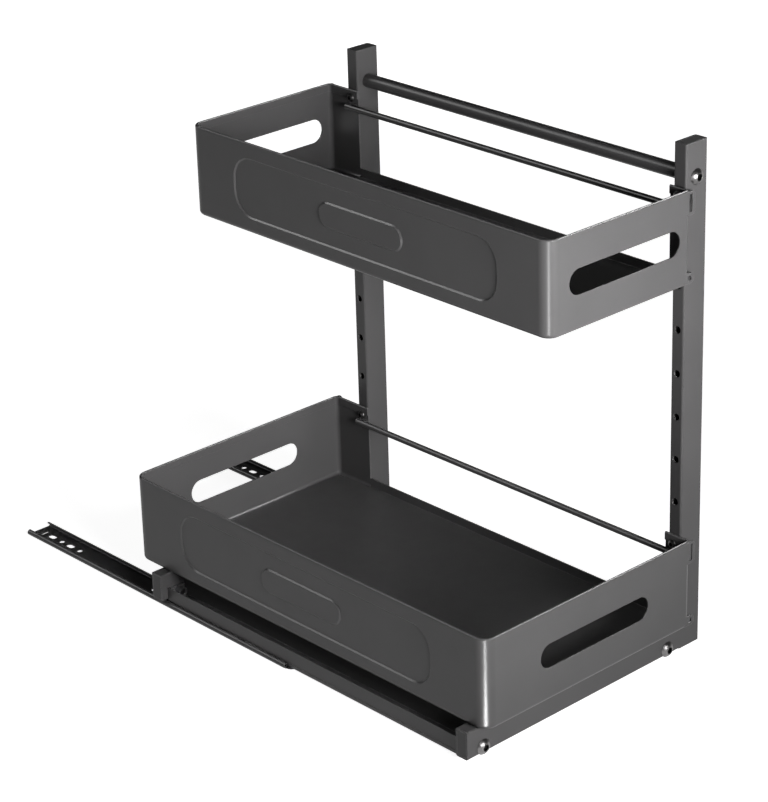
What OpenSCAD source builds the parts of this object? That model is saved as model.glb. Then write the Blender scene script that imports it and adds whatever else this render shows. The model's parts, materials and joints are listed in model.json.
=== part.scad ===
// Tiered pull-out cabinet basket on a pair of ball-bearing slides, drawn half pulled out.
// +X is to the right, towards the posts. +Y is into the cabinet. +Z is up.
// The origin is under the middle of the whole object, on the cabinet floor.
// Inside the modules, x is measured from the frames' left ends, y from the front frame's
// front face and z from the cabinet floor. place() moves that corner to the origin.

/* [Frames] */
// Width of the L-shaped frames
frame_w = 265; // [230:1:330]
// Height of the posts' tops above the cabinet floor
frame_h = 436; // [400:1:520]
// Depth from the front frame's front face to the rear frame's back face
frame_len = 379; // [340:1:440]
// Wide side of the rectangular tube
tube_w = 24.4; // [22:0.1:30]
// Narrow side of the rectangular tube
tube_d = 12.4; // [11:0.1:16]
// Wall of the rectangular tube
tube_t = 1.4; // [1:0.1:2]
// Height of the legs' undersides above the cabinet floor
leg_lift = 6.3; // [6:0.1:8]
// Diameter of the tie rod between the post tops
rod_dia = 12; // [10:0.5:13]
// Drop from the posts' tops to the tie rod
rod_drop = 28; // [16:1:32]

/* [Post holes] */
// Diameter of the height holes in the posts' inner faces
height_hole_dia = 6; // [5:0.1:6.2]
// Distance from one height hole to the next
height_pitch = 36.85; // [34:0.05:37]
// Height of the lowest height hole, which holds the lower basket
first_hole_z = 100.1; // [96:0.1:103]
// Number of height holes in each post
height_holes = 9; // [9:1:9]

/* [Baskets] */
// Width of the lower basket
lower_w = 231.3; // [200:0.1:235]
// Depth of the lower basket
lower_len = 418.2; // [405:0.1:430]
// Width of the upper basket
upper_w = 154.6; // [146:0.1:200]
// Depth of the upper basket
upper_len = 406.5; // [395:0.1:430]
// Height of both baskets
basket_h = 77.9; // [72:0.1:84]
// Sheet thickness of the baskets
sheet_t = 1.2; // [1:0.1:1.6]
// Plan radius of the baskets' left corners
corner_r = 11; // [9:0.5:16]
// Plan radius of the baskets' corners at the posts
post_corner_r = 5; // [4:0.5:7]
// Radius of the bend between the walls and the floor
bend_r = 4; // [3:0.5:5]
// Height of the folded hem along the rim
hem_h = 7; // [5:0.5:9]
// Length of the handle slots
handle_len = 122; // [90:1:125]
// Height of the handle slots
handle_h = 21; // [18:0.5:26]
// How far the handle slots stand to the right of the walls' middles
handle_shift = 4.9; // [0:0.1:6]
// Diameter of the guard bars on the baskets' open sides
bar_dia = 5.4; // [4:0.1:6]
// Drop from the rim to the guard bar
bar_drop = 15.3; // [15.2:0.1:20]

/* [Side embossing] */
// Depth of the pressed outer panel
outer_emboss_len = 300; // [260:1:330]
// Height of the pressed outer panel
outer_emboss_h = 52; // [44:1:56]
// Corner radius of the pressed outer panel
outer_emboss_r = 21; // [14:0.5:21.5]
// Length of the raised middle oval
inner_emboss_len = 93; // [70:1:120]
// Height of the raised middle oval
inner_emboss_h = 19.6; // [14:0.1:24]
// How far the panel is pressed in and the oval raised back out
emboss_d = 1.2; // [0.4:0.1:1.4]
// Width of the sloped wall around each
emboss_slope = 1.3; // [0.8:0.1:2]

/* [Slides] */
// Length of the fixed rails
rail_len = 354; // [340:1:360]
// Width of the fixed rails
rail_w = 25.4; // [24:0.1:27]
// Height of the fixed rails
rail_h = 5; // [5:0.1:5.05]
// Sheet thickness of the slides
rail_t = 1; // [0.9:0.05:1.05]
// Length of the moving runners
runner_len = 350; // [348:1:355]
// How far the basket stands pulled out as drawn
drawn_travel = 194.5; // [190:0.5:198]
// Travel from the drawn place to fully out
out_travel = 70; // [50:1:70]
// Balls on each side of a slide
balls_side = 8; // [4:1:8]
// Distance from ball to ball
ball_pitch = 9; // [7:0.5:9.5]
// Height of the side rails' outer webs
side_rail_h = 12.5; // [11.5:0.5:16]
// Sheet thickness of the side rails
side_rail_t = 1.1; // [1:0.05:1.2]

/* [Hidden] */
$fn = 48;

// overrun of every cut
over = 1;
// clearance of pieces that are pushed in
push_clear = 0.1;
// clearance around a screw's shank
screw_clear = 0.2;
// outer corner radius of the tube
tube_r = 1.6;
// rounding of the small sheet corners
nick_r = 2;

// frame
leg_top_z = leg_lift + tube_w;
post_x = frame_w - tube_w;
rear_y = frame_len - tube_d;
rod_z = frame_h - rod_drop;
cap_depth = 9;
rod_t = 1.5;
plug_len = 14;

// socket screws of the frames, M6
screw_dia = 6;
screw_head_dia = 13.4;
screw_head_h = 3.9;
socket_dia = 5;
socket_depth = 2.4;
leg_screw_left_in = 17;
leg_screw_right_in = 38.6;
leg_screw_up = 5.4;
nut_dia = 9;
nut_len = 6;

// screws that hold the baskets, same head form, smaller
basket_screw_dia = 5.2;
basket_screw_head_dia = 8;
basket_screw_head_h = 2.4;
basket_screw_len = 9;
basket_socket_dia = 3.2;
basket_socket_depth = 1.5;

// baskets
basket_mid_y = 198.2;
basket_post_gap = 0.1;
lower_left_x = basket_x1() - lower_w;
upper_left_x = basket_x1() - upper_w;
lower_z = leg_top_z;
upper_rim_over_screw = 7;
upper_z = first_hole_z + (height_holes - 1) * height_pitch + upper_rim_over_screw - basket_h;
return_past_post = 2;
lip_h = 9;
lug_w = 5.2;
lug_slot_w = 3.6;
lug_slot_in = 1.3;
lug_slot_h = 14.6;
lug_edge = 2.4;
lug_r = 3.6;
small_lug_low = 1.7;
small_lug_slot_h = 4;
bar_lap = 12;
bar_weld_gap = 0.05;
function basket_x1() = post_x - basket_post_gap;

// slides
rail_x = 2.7;
rail_rear_y = 563;
rail_y = rail_rear_y - rail_len;
mirror_x = leg_screw_left_in + frame_w - leg_screw_right_in;
race_r = rail_h / 2 - rail_t;
ball_clear = 0.06;
ball_r = race_r - ball_clear;
lip_in = 0.6;
lip_gap = 0.3;
runner_top_z = leg_lift - side_rail_t;
runner_low_z = 1.9;
runner_x = rail_h / 2 + lip_in + lip_gap;
runner_leg_t = 1.5;
lip_end_in = 5;
tab_r = 4;
cage_t = 0.5;
cage_x = 2.25;
cage_floor_gap = 0.15;
cage_top_z = 3.75;
cage_end = 5;
ball_z = rail_h / 2;
cage_len = (balls_side - 1) * ball_pitch + 2 * cage_end;
closed_runner_y = rail_y - 4.5;
runner_y = closed_runner_y - drawn_travel;
stop_gap = 0.3;
stop_w = 8;
rail_stop_h = 2.2;
runner_stop_floor_gap = 0.3;
// fully out, the cage stands between the rail's front stop and the runner's rear stop
cage_mid_y = runner_y + runner_len - rail_t - stop_gap - (cage_len + out_travel) / 2;
rail_stop_y = cage_mid_y - (cage_len + out_travel) / 2 - stop_gap - rail_t;

// holes in the fixed rails: places along the rail, from its rear end
oval_hole_places = [20.4, 46.9, 333.6];
round_hole_places = [34.3, 60.2, 165.5, 319.7];
lock_slot_place = 9.1;
oval_hole_w = 5.4;
oval_hole_len = 8.8;
round_hole_dia = 5;
lock_slot_w = 2.4;
lock_slot_len = 8;

// side rails
side_rail_low_z = leg_lift - side_rail_t;
side_rail_x = rail_x + runner_x;
side_rail_w = rail_w - 2 * runner_x;
inner_web_gap = 0.3;
inner_web_h = leg_top_z - inner_web_gap - side_rail_low_z;
side_rail_bend_r = 0.8;
under_leg = 7.4;
tab_top_gap = 1;
runner_screw_dia = 4;
runner_screw_head_dia = 7.5;
runner_screw_head_h = 1.6;
runner_screw_front_in = 27.6;
runner_screw_rear_in = 36.6;
first_runner_screw_y = tube_d + runner_screw_front_in;
last_runner_screw_y = rear_y - runner_screw_rear_in;
runner_screw_ys = [first_runner_screw_y, (first_runner_screw_y + last_runner_screw_y) / 2,
    last_runner_screw_y];

// plan: the whole object's extent, which sets the origin
whole_front_y = basket_mid_y - lower_len / 2;
whole_rear_y = rail_rear_y;

module place() {
    translate([-frame_w / 2, -(whole_front_y + whole_rear_y) / 2, 0]) children();
}

// plain outlines

module rounded_rect(w, h, r) {
    translate([r, 0]) square([w - 2 * r, h]);
    translate([0, r]) square([w, h - 2 * r]);
    for (x = [r, w - r], y = [r, h - r]) translate([x, y]) circle(r = r);
}

module tube_outline(w, h) {
    rounded_rect(w, h, tube_r);
}

module tube_bore_outline(w, h) {
    translate([tube_t, tube_t])
        rounded_rect(w - 2 * tube_t, h - 2 * tube_t, tube_r - tube_t + push_clear);
}

// extrusions along the three axes, from a start to an end

module along_x(x0, x1) {
    translate([x0, 0, 0]) rotate([90, 0, 90]) linear_extrude(x1 - x0) children();
}

module along_y(y0, y1) {
    translate([0, y1, 0]) rotate([90, 0, 0]) linear_extrude(y1 - y0) children();
}

module along_z(z0, z1) {
    translate([0, 0, z0]) linear_extrude(z1 - z0) children();
}

module round_x(x0, x1, r) {
    translate([x0, 0, 0]) rotate([0, 90, 0]) cylinder(h = x1 - x0, r = r);
}

module round_y(y0, y1, r) {
    translate([0, y1, 0]) rotate([90, 0, 0]) cylinder(h = y1 - y0, r = r);
}

// frames

module leg_screw_places() {
    for (x = [leg_screw_left_in, frame_w - leg_screw_right_in])
        translate([x, 0, leg_lift + leg_screw_up]) children();
}

module height_hole_stack() {
    for (i = [0 : height_holes - 1])
        translate([0, tube_d / 2, first_hole_z + i * height_pitch]) children();
}

// one L-shaped frame: a post and a leg of the same tube, welded at the corner
module l_frame() {
    difference() {
        union() {
            translate([post_x, 0, 0]) along_z(leg_lift, frame_h) tube_outline(tube_w, tube_d);
            along_x(0, post_x + tube_w / 2)
                translate([0, leg_lift]) tube_outline(tube_d, tube_w);
        }
        translate([post_x, 0, 0])
            along_z(leg_lift + tube_t, frame_h + over) tube_bore_outline(tube_w, tube_d);
        along_x(-over, frame_w - tube_t)
            translate([0, leg_lift]) tube_bore_outline(tube_d, tube_w);
        leg_screw_places() round_y(-over, tube_d + over, screw_dia / 2 + screw_clear);
        translate([post_x + tube_w / 2, 0, rod_z])
            round_y(-over, tube_d + over, screw_dia / 2 + screw_clear);
        height_hole_stack() round_x(post_x - over, post_x + 2 * tube_t, height_hole_dia / 2);
    }
}

module front_frame() {
    color("#4a484b") place() l_frame();
}

module rear_frame() {
    color("#4a484b") place() translate([0, rear_y, 0]) l_frame();
}

// push-in end caps of the tubes, flush with the cut ends
module cap_outline(w, h) {
    in = tube_t + push_clear;
    translate([in, in]) rounded_rect(w - 2 * in, h - 2 * in, nick_r / 2);
}

module post_cap() {
    translate([post_x, 0, 0]) along_z(frame_h - cap_depth, frame_h) cap_outline(tube_w, tube_d);
}

module leg_cap() {
    along_x(0, cap_depth) translate([0, leg_lift]) cap_outline(tube_d, tube_w);
}

module front_post_cap() {
    color("#3b393c") place() post_cap();
}

module rear_post_cap() {
    color("#3b393c") place() translate([0, rear_y, 0]) post_cap();
}

module front_leg_cap() {
    color("#3b393c") place() leg_cap();
}

module rear_leg_cap() {
    color("#3b393c") place() translate([0, rear_y, 0]) leg_cap();
}

// tie rod between the post tops, a tube with a threaded plug in each end
module tie_rod() {
    color("#4a484b") place() translate([post_x + tube_w / 2, 0, rod_z]) difference() {
        round_y(tube_d, rear_y, rod_dia / 2);
        round_y(tube_d - over, rear_y + over, rod_dia / 2 - rod_t);
    }
}

module tie_rod_plugs() {
    color("#8d8b88") place() translate([post_x + tube_w / 2, 0, rod_z])
        for (y = [tube_d, rear_y - plug_len]) difference() {
            round_y(y, y + plug_len, rod_dia / 2 - rod_t - push_clear);
            round_y(y - over, y + plug_len + over, screw_dia / 2);
        }
}

// button-head screw with a hexagon socket; its head sits on y = 0 and its shank runs along +Y
module socket_screw(dia, len, head_dia, head_h, socket, depth) {
    head_r = head_dia / 2;
    dome_r = (head_r * head_r + head_h * head_h) / (2 * head_h);
    difference() {
        union() {
            rotate([90, 0, 0]) difference() {
                intersection() {
                    translate([0, 0, head_h - dome_r]) sphere(r = dome_r);
                    cylinder(h = head_h, r = head_r);
                }
            }
            round_y(0, len, dia / 2);
        }
        translate([0, depth - head_h, 0]) rotate([90, 0, 0])
            cylinder(h = depth + over, r = socket / sqrt(3), $fn = 6);
    }
}

module frame_screw(len) {
    socket_screw(screw_dia - push_clear, len, screw_head_dia, screw_head_h, socket_dia,
        socket_depth);
}

module frame_screws() {
    rod_reach = tube_d + plug_len - nick_r;
    leg_reach = tube_d + side_rail_t + nut_len;
    color("#6d6c6e") place() {
        leg_screw_places() frame_screw(leg_reach);
        leg_screw_places() translate([0, frame_len, 0]) mirror([0, 1, 0]) frame_screw(leg_reach);
        translate([post_x + tube_w / 2, 0, rod_z]) frame_screw(rod_reach);
        translate([post_x + tube_w / 2, frame_len, rod_z]) mirror([0, 1, 0])
            frame_screw(rod_reach);
    }
}

// round nuts behind the side rails' end tabs
module side_rail_nuts() {
    color("#8d8b88") place()
        for (y = [tube_d + side_rail_t, rear_y - side_rail_t - nut_len])
            leg_screw_places() difference() {
                round_y(y, y + nut_len, nut_dia / 2);
                round_y(y - over, y + nut_len + over, screw_dia / 2);
            }
}

// side rails: folded channels on the runners, which join the two legs; the outer web is in line
// with the runner's side and the inner web closes the space under the lower basket

module side_rail_web(h) {
    translate([0, side_rail_bend_r]) square([side_rail_t, h - side_rail_bend_r]);
    intersection() {
        square(side_rail_bend_r);
        translate([side_rail_bend_r, side_rail_bend_r]) circle(r = side_rail_bend_r);
    }
}

module side_rail_outline() {
    translate([side_rail_x, side_rail_low_z]) {
        side_rail_web(side_rail_h);
        translate([side_rail_bend_r, 0]) square([side_rail_w - 2 * side_rail_bend_r, side_rail_t]);
        translate([side_rail_w, 0]) mirror([1, 0]) side_rail_web(inner_web_h);
    }
}

module side_rail() {
    tab_h = side_rail_h - side_rail_t - tab_top_gap;
    difference() {
        union() {
            along_y(tube_d, rear_y) side_rail_outline();
            translate([side_rail_x + side_rail_t, tube_d - under_leg, side_rail_low_z])
                cube([side_rail_w - 2 * side_rail_t, rear_y - tube_d + 2 * under_leg,
                    side_rail_t]);
            for (y = [tube_d, rear_y - side_rail_t])
                translate([side_rail_x + side_rail_t, y, leg_lift])
                    cube([side_rail_w - 2 * side_rail_t, side_rail_t, tab_h]);
        }
        leg_screw_places() round_y(-over, frame_len, screw_dia / 2 + screw_clear);
        for (y = runner_screw_ys)
            translate([rail_x + rail_w / 2, y, side_rail_low_z - over])
                cylinder(h = side_rail_t + 2 * over, r = runner_screw_dia / 2 + screw_clear);
    }
}

module side_rail_left() {
    color("#454347") place() side_rail();
}

module side_rail_right() {
    color("#454347") place() translate([mirror_x, 0, 0]) mirror([1, 0, 0]) side_rail();
}

// ball slides

// the fixed rail: a floor between two rolled lips, each half a ring with a short flat end
module fixed_rail_outline() {
    for (side = [0, 1]) translate([side * rail_w, rail_h / 2]) mirror([side, 0])
        translate([rail_h / 2, 0]) {
            difference() {
                circle(r = rail_h / 2);
                circle(r = race_r);
                translate([0, -rail_h]) square([rail_h, 2 * rail_h]);
            }
            translate([0, race_r]) square([lip_in, rail_t]);
        }
    translate([rail_h / 2, 0]) square([rail_w - rail_h, rail_t]);
}

module long_hole(w, len, h) {
    for (y = [-(len - w) / 2, (len - w) / 2]) translate([0, y, 0]) cylinder(h = h, r = w / 2);
    translate([-w / 2, -(len - w) / 2, 0]) cube([w, len - w, h]);
}

module fixed_rail() {
    hole_h = rail_t + 2 * over;
    translate([rail_x, 0, 0]) difference() {
        union() {
            along_y(rail_y + lip_end_in, rail_rear_y) fixed_rail_outline();
            translate([rail_h / 2, rail_y, 0]) {
                translate([tab_r, 0, 0]) cube([rail_w - rail_h - 2 * tab_r, tab_r, rail_t]);
                for (x = [tab_r, rail_w - rail_h - tab_r]) translate([x, tab_r, 0])
                    cylinder(h = rail_t, r = tab_r);
                translate([0, tab_r, 0]) cube([rail_w - rail_h, lip_end_in, rail_t]);
            }
            // front stop of the ball cage, lanced up out of the floor
            translate([(rail_w - stop_w) / 2, rail_stop_y, 0]) cube([stop_w, rail_t, rail_stop_h]);
        }
        translate([rail_w / 2, rail_rear_y, -over]) {
            for (p = oval_hole_places) translate([0, -p, 0])
                long_hole(oval_hole_w, oval_hole_len, hole_h);
            for (p = round_hole_places) translate([0, -p, 0])
                cylinder(h = hole_h, r = round_hole_dia / 2);
            translate([0, -lock_slot_place, 0]) rotate([0, 0, 90])
                long_hole(lock_slot_w, lock_slot_len, hole_h);
        }
    }
}

module fixed_rail_left() {
    color("#39373b") place() fixed_rail();
}

module fixed_rail_right() {
    color("#39373b") place() translate([mirror_x, 0, 0]) mirror([1, 0, 0]) fixed_rail();
}

// the moving runner: a channel open downwards, with a ball groove along each side
module runner_outline() {
    inner_x = runner_x + runner_leg_t;
    difference() {
        translate([runner_x, runner_low_z])
            square([rail_w - 2 * runner_x, runner_top_z - runner_low_z]);
        translate([inner_x, runner_low_z - over])
            square([rail_w - 2 * inner_x, runner_top_z - rail_t - runner_low_z + over]);
        for (x = [rail_h / 2, rail_w - rail_h / 2]) translate([x, ball_z]) circle(r = race_r);
    }
}

module runner() {
    stop_low_z = rail_t + runner_stop_floor_gap;
    translate([rail_x, 0, 0]) difference() {
        union() {
            along_y(runner_y, runner_y + runner_len) runner_outline();
            // rear stop, bent down behind the ball cage
            translate([(rail_w - stop_w) / 2, runner_y + runner_len - rail_t, stop_low_z])
                cube([stop_w, rail_t, runner_top_z - rail_t / 2 - stop_low_z]);
        }
        for (y = runner_screw_ys) translate([rail_w / 2, y, ball_z])
            cylinder(h = rail_h, r = runner_screw_dia / 2 + screw_clear);
    }
}

module runner_left() {
    color("#39373b") place() runner();
}

module runner_right() {
    color("#39373b") place() translate([mirror_x, 0, 0]) mirror([1, 0, 0]) runner();
}

module runner_screw() {
    translate([0, 0, runner_top_z + side_rail_t])
        cylinder(h = runner_screw_head_h, r = runner_screw_head_dia / 2);
    translate([0, 0, runner_top_z - rail_t])
        cylinder(h = rail_t + side_rail_t, r = runner_screw_dia / 2);
}

module runner_screws() {
    color("#8d8b88") place()
        for (x = [rail_x + rail_w / 2, mirror_x - rail_x - rail_w / 2], y = runner_screw_ys)
            translate([x, y, 0]) runner_screw();
}

module ball_places() {
    for (x = [rail_x + rail_h / 2, rail_x + rail_w - rail_h / 2], i = [0 : balls_side - 1])
        translate([x, cage_mid_y + (i - (balls_side - 1) / 2) * ball_pitch, ball_z]) children();
}

module ball_cage() {
    cage_low_z = rail_t + cage_floor_gap;
    difference() {
        translate([rail_x, 0, 0]) along_y(cage_mid_y - cage_len / 2, cage_mid_y + cage_len / 2) {
            translate([cage_x, cage_low_z]) square([rail_w - 2 * cage_x, cage_t]);
            for (x = [cage_x, rail_w - cage_x - cage_t])
                translate([x, cage_low_z]) square([cage_t, cage_top_z - cage_low_z]);
        }
        ball_places() round_x(-rail_h / 2, rail_h / 2, race_r);
    }
}

module ball_cage_left() {
    color("#b9b6b0") place() ball_cage();
}

module ball_cage_right() {
    color("#b9b6b0") place() translate([mirror_x, 0, 0]) mirror([1, 0, 0]) ball_cage();
}

module race_balls_left() {
    color("#d0d0d0") place() ball_places() sphere(r = ball_r);
}

module race_balls_right() {
    color("#d0d0d0") place() translate([mirror_x, 0, 0]) mirror([1, 0, 0])
        ball_places() sphere(r = ball_r);
}

// baskets

// section of a wall, drawn outside face at 0: hemmed rim, wall and bend into the floor
module wall_outline() {
    translate([0, bend_r]) square([sheet_t, basket_h - bend_r - sheet_t]);
    translate([sheet_t, basket_h - hem_h]) square([sheet_t, hem_h - sheet_t]);
    translate([sheet_t, basket_h - sheet_t]) circle(r = sheet_t);
    translate([bend_r, bend_r]) difference() {
        circle(r = bend_r);
        circle(r = bend_r - sheet_t);
        translate([0, -bend_r]) square(2 * bend_r);
        translate([-bend_r, 0]) square(2 * bend_r);
    }
}

// the same section where the wall turns a corner of outer radius r, a quarter turn
module wall_corner(r) {
    rotate_extrude(angle = 90) difference() {
        union() {
            translate([r, 0]) mirror([1, 0]) wall_outline();
            square([r - bend_r, sheet_t]);
        }
        translate([-r, 0]) square([r, basket_h]);
    }
}

module handle_cut(y0, y1) {
    for (x = [-(handle_len - handle_h) / 2, (handle_len - handle_h) / 2])
        translate([x, 0, 0]) round_y(y0, y1, handle_h / 2);
    translate([-(handle_len - handle_h) / 2, y0, -handle_h / 2])
        cube([handle_len - handle_h, y1 - y0, handle_h]);
}

// a pressed form with sloped walls, along x from x0 to x1: at x = 0 its outline is a rounded
// rectangle, which becomes smaller by shrink for every mm along x
module pressed_form(len, h, r, x0, x1, shrink) {
    grow0 = -x0 * shrink;
    grow1 = -x1 * shrink;
    for (y = [r - len / 2, len / 2 - r], z = [r - h / 2, h / 2 - r])
        translate([x0, y, z]) rotate([0, 90, 0])
            cylinder(h = x1 - x0, r1 = r + grow0, r2 = r + grow1);
    along_y(r - len / 2, len / 2 - r)
        polygon([[x0, -h / 2 - grow0], [x1, -h / 2 - grow1], [x1, h / 2 + grow1],
            [x0, h / 2 + grow0]]);
    along_z(r - h / 2, h / 2 - r)
        polygon([[x0, -len / 2 - grow0], [x1, -len / 2 - grow1], [x1, len / 2 + grow1],
            [x0, len / 2 + grow0]]);
}

module outer_panel(x0, x1) {
    pressed_form(outer_emboss_len, outer_emboss_h, outer_emboss_r, x0, x1,
        emboss_slope / emboss_d);
}

module middle_oval(x0, x1) {
    pressed_form(inner_emboss_len, inner_emboss_h, inner_emboss_h / 2 - push_clear, x0, x1,
        -emboss_slope / emboss_d);
}

// a lug that stands out past the basket's corner, in front of the post
module lug_outline(h) {
    reach = post_corner_r + lug_w;
    square([reach - lug_r, h]);
    translate([0, lug_r]) square([reach, h - 2 * lug_r]);
    for (z = [lug_r, h - lug_r]) translate([reach - lug_r, z]) circle(r = lug_r);
}

// one basket, drawn with its left front lower corner at the origin of its own space
module basket(w, len, front_y, floor_z) {
    reach_front = tube_d + return_past_post - front_y;
    reach_rear = front_y + len - rear_y + return_past_post;
    lug_z = basket_h - sheet_t - lug_slot_h - 2 * lug_edge;
    difference() {
        union() {
            // front wall, rear wall and left wall
            along_x(corner_r, w - post_corner_r) wall_outline();
            translate([0, len, 0]) mirror([0, 1, 0])
                along_x(corner_r, w - post_corner_r) wall_outline();
            along_y(corner_r, len - corner_r) wall_outline();
            // left corners
            translate([corner_r, corner_r, 0]) rotate([0, 0, 180]) wall_corner(corner_r);
            translate([corner_r, len - corner_r, 0]) rotate([0, 0, 90]) wall_corner(corner_r);
            // corners at the posts
            translate([w - post_corner_r, post_corner_r, 0]) rotate([0, 0, -90])
                wall_corner(post_corner_r);
            translate([w - post_corner_r, len - post_corner_r, 0]) wall_corner(post_corner_r);
            // returns that lie along the posts' inner faces
            translate([w, 0, 0]) mirror([1, 0, 0]) {
                along_y(post_corner_r, reach_front) wall_outline();
                along_y(len - reach_rear, len - post_corner_r) wall_outline();
            }
            // floor and its low lip on the open side
            translate([bend_r, corner_r, 0])
                cube([w - 2 * bend_r, len - 2 * corner_r, sheet_t]);
            translate([corner_r, bend_r, 0])
                cube([w - corner_r - post_corner_r, len - 2 * bend_r, sheet_t]);
            translate([w - bend_r, reach_front, 0])
                cube([bend_r, len - reach_front - reach_rear, sheet_t]);
            translate([w - sheet_t, reach_front, 0])
                cube([sheet_t, len - reach_front - reach_rear, lip_h]);
            // back of the pressed side panel
            translate([sheet_t, len / 2, basket_h / 2]) outer_panel(-sheet_t / 2, emboss_d);
            // locating lugs in the planes of the front and rear walls
            for (y = [0, len - sheet_t]) translate([w - post_corner_r, y + sheet_t, 0])
                rotate([90, 0, 0]) linear_extrude(sheet_t) {
                    translate([0, lug_z]) lug_outline(lug_slot_h + 2 * lug_edge);
                    translate([0, small_lug_low]) lug_outline(small_lug_slot_h + 2 * lug_edge);
                }
        }
        // handle slots
        translate([w / 2 + handle_shift, 0, basket_h / 2]) {
            handle_cut(-over, 2 * sheet_t);
            handle_cut(len - 2 * sheet_t, len + over);
        }
        // side panel, pressed in around the oval, and the oval's hollow back
        translate([0, len / 2, basket_h / 2]) difference() {
            outer_panel(-emboss_d, emboss_d);
            middle_oval(-2 * emboss_d, 2 * emboss_d);
        }
        translate([sheet_t, len / 2, basket_h / 2]) middle_oval(0, 2 * emboss_d);
        // slots of the locating lugs
        for (y = [0, len - sheet_t]) translate([w - lug_slot_in, y - over, 0]) {
            translate([0, 0, lug_z + lug_edge]) cube([lug_slot_w, sheet_t + 2 * over, lug_slot_h]);
            translate([0, 0, small_lug_low + lug_edge])
                cube([lug_slot_w, sheet_t + 2 * over, small_lug_slot_h]);
        }
        // screw holes at the posts
        for (y = [tube_d / 2, rear_y + tube_d / 2])
            translate([0, y - front_y, floor_z])
                round_x(w - 3 * sheet_t, w + over, basket_screw_dia / 2 + screw_clear);
    }
}

lower_front_y = basket_mid_y - lower_len / 2;
upper_front_y = basket_mid_y - upper_len / 2;
lower_screw_z = first_hole_z;
upper_screw_z = first_hole_z + (height_holes - 1) * height_pitch;

module lower_basket() {
    color("#4c4a4d") place() translate([lower_left_x, lower_front_y, lower_z])
        basket(lower_w, lower_len, lower_front_y, lower_screw_z - lower_z);
}

module upper_basket() {
    color("#4c4a4d") place() translate([upper_left_x, upper_front_y, upper_z])
        basket(upper_w, upper_len, upper_front_y, upper_screw_z - upper_z);
}

// guard bars, welded to the returns' inner faces
module guard_bar(basket_z) {
    x = basket_x1() - sheet_t - bar_weld_gap - bar_dia / 2;
    y0 = tube_d + return_past_post - bar_lap;
    y1 = rear_y - return_past_post + bar_lap;
    translate([x, 0, basket_z + basket_h - bar_drop]) round_y(y0, y1, bar_dia / 2);
}

module lower_guard_bar() {
    color("#4c4a4d") place() guard_bar(lower_z);
}

module upper_guard_bar() {
    color("#4c4a4d") place() guard_bar(upper_z);
}

// screws through the returns into the posts' height holes
module basket_screws() {
    color("#6d6c6e") place()
        for (z = [lower_screw_z, upper_screw_z], y = [tube_d / 2, rear_y + tube_d / 2])
            translate([basket_x1() - 2 * sheet_t, y, z]) rotate([0, 0, -90])
                socket_screw(basket_screw_dia, basket_screw_len, basket_screw_head_dia,
                    basket_screw_head_h, basket_socket_dia, basket_socket_depth);
}

fixed_rail_left();
fixed_rail_right();
ball_cage_left();
ball_cage_right();
race_balls_left();
race_balls_right();
runner_left();
runner_right();
runner_screws();
side_rail_left();
side_rail_right();
front_frame();
rear_frame();
front_post_cap();
rear_post_cap();
front_leg_cap();
rear_leg_cap();
tie_rod();
tie_rod_plugs();
frame_screws();
side_rail_nuts();
lower_basket();
upper_basket();
lower_guard_bar();
upper_guard_bar();
basket_screws();
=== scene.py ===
# %% [markdown]
# Pull out cabinet basket
#
# The real object is a black powder coated frame of rectangular steel tube that carries two
# pressed sheet baskets and rolls on a pair of ball slides. Its construction comes ready made,
# at its real size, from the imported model. This lesson only dresses it: a camera, soft studio
# light, one procedural finish for each material, and the small turned and welded details that
# repeat. Lengths are in metres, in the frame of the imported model. Screws and welds are drawn in
# millimetres, as on a workshop drawing, and MM turns those into metres.

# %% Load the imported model
import json
import math

import bmesh
import bpy
from mathutils import Matrix, Vector


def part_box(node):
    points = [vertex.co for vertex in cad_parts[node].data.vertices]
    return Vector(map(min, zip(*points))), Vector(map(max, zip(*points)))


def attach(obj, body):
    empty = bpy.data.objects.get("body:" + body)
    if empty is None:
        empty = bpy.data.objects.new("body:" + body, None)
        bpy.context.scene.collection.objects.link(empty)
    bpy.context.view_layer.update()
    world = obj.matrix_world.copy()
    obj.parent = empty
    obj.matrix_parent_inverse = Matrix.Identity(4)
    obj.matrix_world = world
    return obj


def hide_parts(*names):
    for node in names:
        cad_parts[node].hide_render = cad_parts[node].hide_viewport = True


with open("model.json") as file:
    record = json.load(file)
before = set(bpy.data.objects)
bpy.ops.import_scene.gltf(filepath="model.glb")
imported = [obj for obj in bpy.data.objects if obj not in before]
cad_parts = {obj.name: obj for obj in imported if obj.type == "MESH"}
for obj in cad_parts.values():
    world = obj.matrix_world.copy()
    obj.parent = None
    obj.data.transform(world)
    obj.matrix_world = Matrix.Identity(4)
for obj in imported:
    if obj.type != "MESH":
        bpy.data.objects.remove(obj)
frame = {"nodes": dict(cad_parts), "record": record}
STARTUP_OBJECTS = ("Cube", "Light", "Camera")
for startup_name in STARTUP_OBJECTS:
    if startup_name in bpy.data.objects:
        bpy.data.objects.remove(bpy.data.objects[startup_name])
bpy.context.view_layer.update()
CARRIAGE = "basket_carriage"
MM = 0.001

# %% [markdown]
# The camera
#
# A product shot like this one is taken from above one corner with a long lens, so that upright
# edges stay nearly parallel. The camera is described the way a photographer would: where it
# stands, how far it is turned and tipped, and its focal length in the picture's pixels. A small
# shift, like that of a view camera, places the object in the picture without tipping further.

# %% Place the camera
CAMERA_PLACE = Vector((-1.3700, -1.5497, 1.0907))
CAMERA_YAW = math.radians(42.90)
CAMERA_PITCH = math.radians(22.59)
CAMERA_ROLL = math.radians(-1.53)
PICTURE_WIDTH_PX = 768
FOCAL_LENGTH_PX = 2723
SHIFT_RIGHT_PX = -20
SHIFT_UP_PX = -61
SENSOR_WIDTH = 36


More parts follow.
